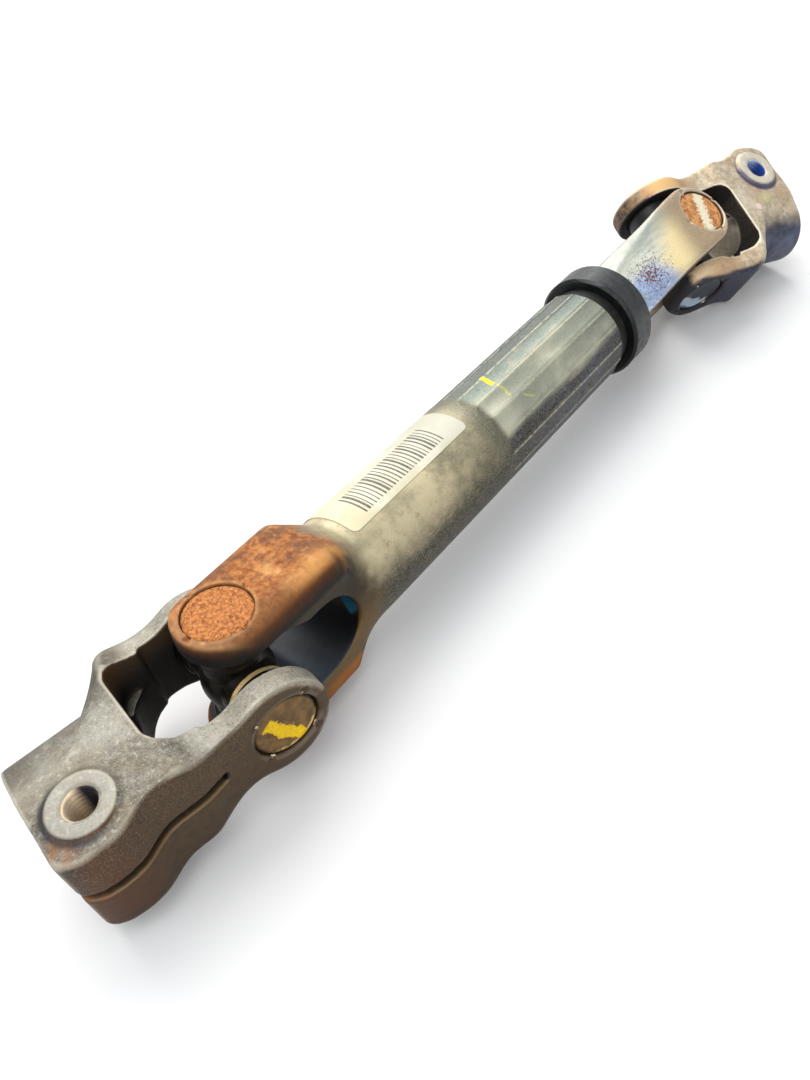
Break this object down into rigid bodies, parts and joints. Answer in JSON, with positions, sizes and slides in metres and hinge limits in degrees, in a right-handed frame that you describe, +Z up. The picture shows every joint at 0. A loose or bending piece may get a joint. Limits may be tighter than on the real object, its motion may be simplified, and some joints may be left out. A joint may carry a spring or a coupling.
{
  "type": "intermediate steering shaft",
  "caption": "Intermediate steering shaft: fluted telescopic tube with a universal joint at each end, each ending in a split clamp yoke with a round bore and a pinch-bolt boss.",
  "frame": {"origin": "middle of the lower clamp yoke's bore, on its axis", "axes": "+X along the tube from the lower joint to the upper joint, +Z up along the cup axis of the tube's fork, +Y completes the right-handed frame"},
  "size_m": [0.3228, 0.0538, 0.0441],
  "materials": {
    "forged_steel": "satin, oiled forging skin with light rust",
    "tube_steel": "satin, olive oxide",
    "cup_steel": "satin with rust film",
    "bearing_steel": "ground",
    "dark_ring": "blackened",
    "seal_rubber": "matt",
    "nylon": "matt",
    "paper": "matt paper"
  },
  "bodies": {
    "outer_tube": {"outer_tube_fork": "tube_steel", "tube_label": "paper", "end_ring": "dark_ring", "groove_seal": "seal_rubber", "wiper_seal": "seal_rubber", "lower_fork_cup_top": "cup_steel", "lower_fork_cup_bottom": "cup_steel", "lower_fork_rollers": "bearing_steel"},
    "lower_cross": {"lower_cross": "bearing_steel", "lower_cross_seals": "seal_rubber", "lower_thrust_pads": "nylon"},
    "lower_clamp": {"lower_clamp_yoke": "forged_steel", "lower_clamp_cup_front": "cup_steel", "lower_clamp_cup_back": "cup_steel", "lower_clamp_rollers": "bearing_steel"},
    "inner_shaft": {"sliding_shaft": "bearing_steel", "slide_sleeve": "nylon", "shaft_fork": "forged_steel", "upper_fork_cup_top": "cup_steel", "upper_fork_cup_bottom": "cup_steel", "upper_fork_rollers": "bearing_steel"},
    "upper_cross": {"upper_cross": "bearing_steel", "upper_cross_seals": "seal_rubber", "upper_thrust_pads": "nylon"},
    "upper_clamp": {"upper_clamp_yoke": "forged_steel", "upper_clamp_cup_front": "cup_steel", "upper_clamp_cup_back": "cup_steel", "upper_clamp_rollers": "bearing_steel"}
  },
  "joints": [
    {"name": "lower_cross_swing", "type": "hinge", "parent": "outer_tube", "child": "lower_cross", "pos_m": [0.03637, -0.00917, 0.00327], "axis": [0, 0, 1], "range_deg": [-10.85, 39.15]},
    {"name": "lower_yoke_swing", "type": "hinge", "parent": "lower_cross", "child": "lower_clamp", "pos_m": [0.03637, -0.00917, 0.00327], "axis": [0.2445, 0.9697, 0], "range_deg": [-20.02, 29.98]},
    {"name": "shaft_slide", "type": "slide", "parent": "outer_tube", "child": "inner_shaft", "axis": [1, 0, 0], "range_m": [0, 0.035]},
    {"name": "upper_cross_swing", "type": "hinge", "parent": "inner_shaft", "child": "upper_cross", "pos_m": [0.24797, -0.00917, 0.00327], "axis": [0, -0.527, 0.8499], "range_deg": [-1.71, 48.29]},
    {"name": "upper_yoke_swing", "type": "hinge", "parent": "upper_cross", "child": "upper_clamp", "pos_m": [0.24797, -0.00917, 0.00327], "axis": [0.3954, 0.7806, 0.484], "range_deg": [-23.89, 26.11]}
  ]
}
